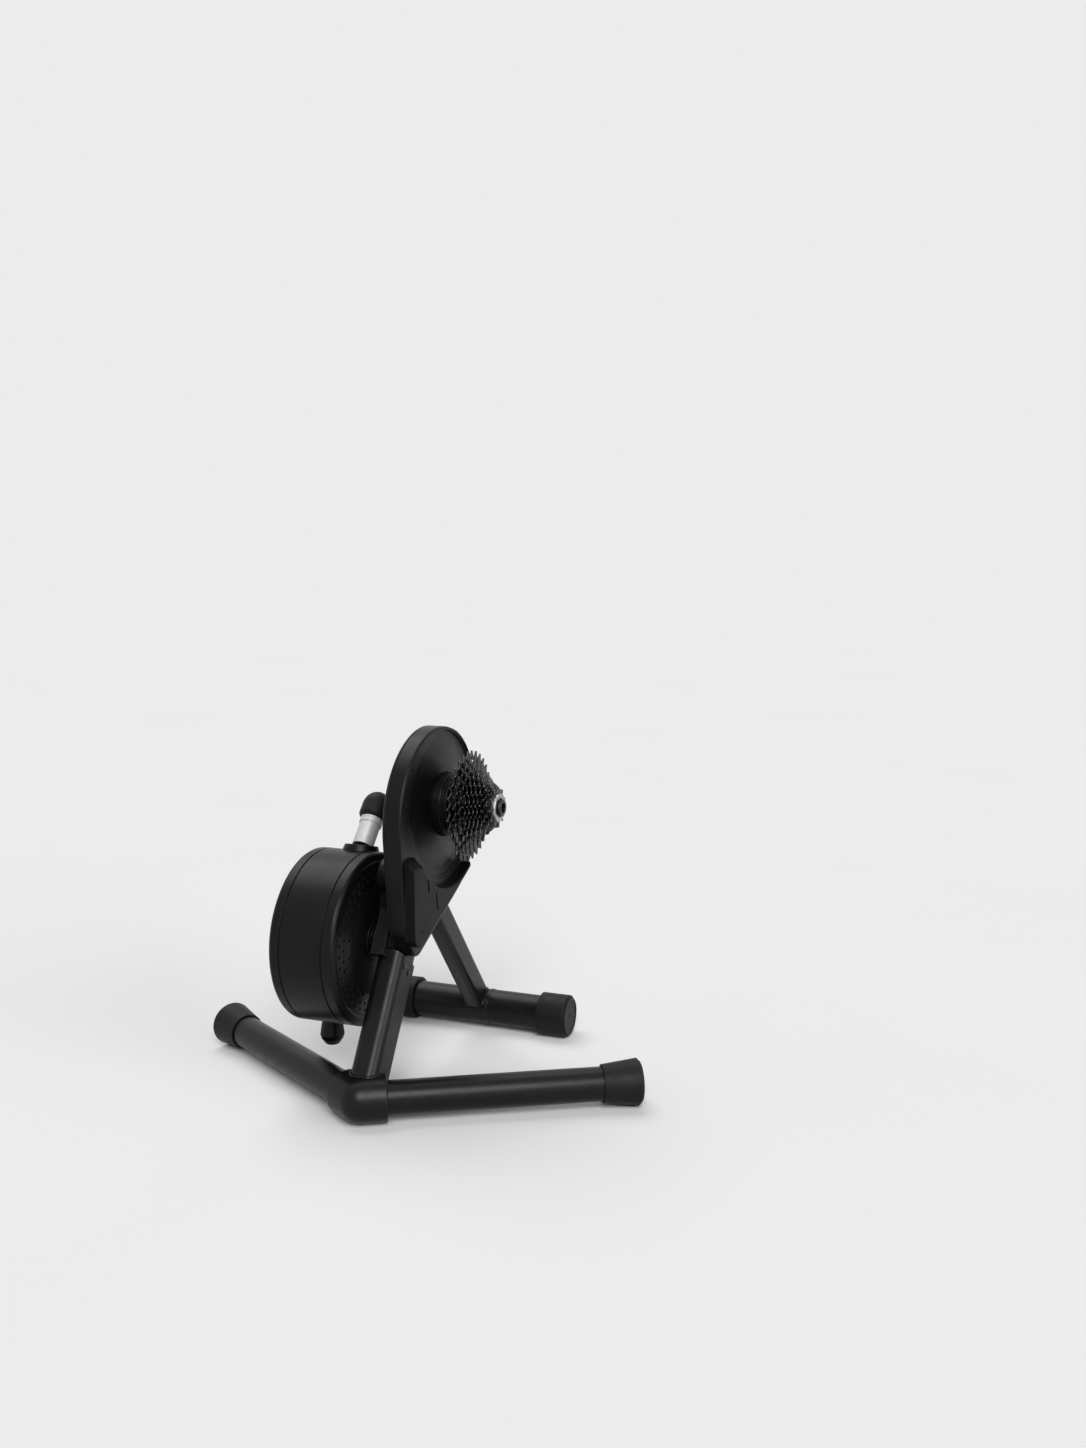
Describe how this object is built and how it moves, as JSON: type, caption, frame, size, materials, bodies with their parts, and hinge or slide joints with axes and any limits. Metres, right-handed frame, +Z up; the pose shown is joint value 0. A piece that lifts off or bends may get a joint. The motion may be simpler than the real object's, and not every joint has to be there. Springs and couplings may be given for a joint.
{
  "type": "direct drive bike trainer",
  "caption": "Direct-drive indoor bike trainer: a tubular stand carries a belt-driven flywheel in a drum, and a cassette on a splined freehub takes the bike's chain.",
  "frame": {"origin": "on the floor under the axle, at the centre of the bounding box's base", "axes": "+X to the chain side (rider's right), +Y forward, +Z up"},
  "size_m": [0.5932, 0.4006, 0.4405],
  "materials": {
    "powder_coat": "satin powder coat",
    "cast_black": "satin, fine grain",
    "moulded_black": "fine matte texture",
    "panel_black": "satin",
    "rubber": "matte",
    "silver": "satin anodised",
    "steel": "machined",
    "dark_steel": "dark, worn bright at the edges",
    "windings": "varnished",
    "belt": "matte"
  },
  "bodies": {
    "frame": {"frame_casting": "cast_black", "rear_strut": "powder_coat", "front_strut": "powder_coat", "rear_knuckle": "powder_coat", "rear_leg_right": "powder_coat", "rear_leg_left": "powder_coat", "rear_cap_right": "rubber", "rear_cap_left": "rubber", "rear_cap_disc_right": "rubber", "rear_cap_disc_left": "rubber", "front_foot_tube": "powder_coat", "front_cap_right": "rubber", "front_cap_left": "rubber", "front_cap_disc_right": "rubber", "front_cap_disc_left": "rubber", "axle_tube": "dark_steel", "axle_end_cap_right": "dark_steel", "axle_end_cap_left": "dark_steel", "belt_cover_shell": "moulded_black", "belt_cover_back_plate": "moulded_black", "belt_cover_panel": "panel_black", "rear_strut_bolt_upper": "dark_steel", "rear_strut_bolt_lower": "dark_steel", "front_strut_bolt": "dark_steel", "housing_shell": "moulded_black", "housing_left_cover": "moulded_black", "housing_right_cover": "moulded_black", "power_inlet": "moulded_black", "handle_collar": "moulded_black", "handle_post": "silver", "handle_band": "silver", "handle_grip": "rubber", "brake_stator": "windings", "idler_arm": "steel", "shaft_bearing_left": "steel", "shaft_bearing_right": "steel", "drive_belt": "belt"},
    "flywheel": {"flywheel": "steel", "flywheel_shaft": "steel", "flywheel_pulley": "steel"},
    "drive": {"drive_pulley": "cast_black", "hub_bearing_left": "steel", "hub_bearing_right": "steel"},
    "cassette": {"freehub_body": "dark_steel", "sprocket_32_teeth": "dark_steel", "sprocket_28_teeth": "dark_steel", "sprocket_25_teeth": "dark_steel", "sprocket_22_teeth": "dark_steel", "sprocket_20_teeth": "dark_steel", "sprocket_18_teeth": "dark_steel", "sprocket_16_teeth": "dark_steel", "sprocket_14_teeth": "dark_steel", "sprocket_13_teeth": "dark_steel", "sprocket_12_teeth": "dark_steel", "sprocket_11_teeth": "dark_steel", "sprocket_lockring": "steel"},
    "idler": {"idler_roller": "steel"}
  },
  "joints": [
    {"name": "flywheel_spin", "type": "hinge", "parent": "frame", "child": "flywheel", "pos_m": [-0.074, -0.076, 0.188], "axis": [1, 0, 0], "continuous": true},
    {"name": "drive_spin", "type": "hinge", "parent": "frame", "child": "drive", "pos_m": [0.03, 0, 0.344], "axis": [1, 0, 0], "continuous": true},
    {"name": "freehub_coast", "type": "hinge", "parent": "drive", "child": "cassette", "pos_m": [0.078, 0, 0.344], "axis": [1, 0, 0], "continuous": true},
    {"name": "idler_spin", "type": "hinge", "parent": "frame", "child": "idler", "pos_m": [0.0148, -0.09842, 0.25874], "axis": [1, 0, 0], "continuous": true}
  ],
  "couplings": [
    {"joint": "drive_spin", "follows": "flywheel_spin", "ratio": 0.1131},
    {"joint": "idler_spin", "follows": "flywheel_spin", "ratio": -0.9048}
  ]
}
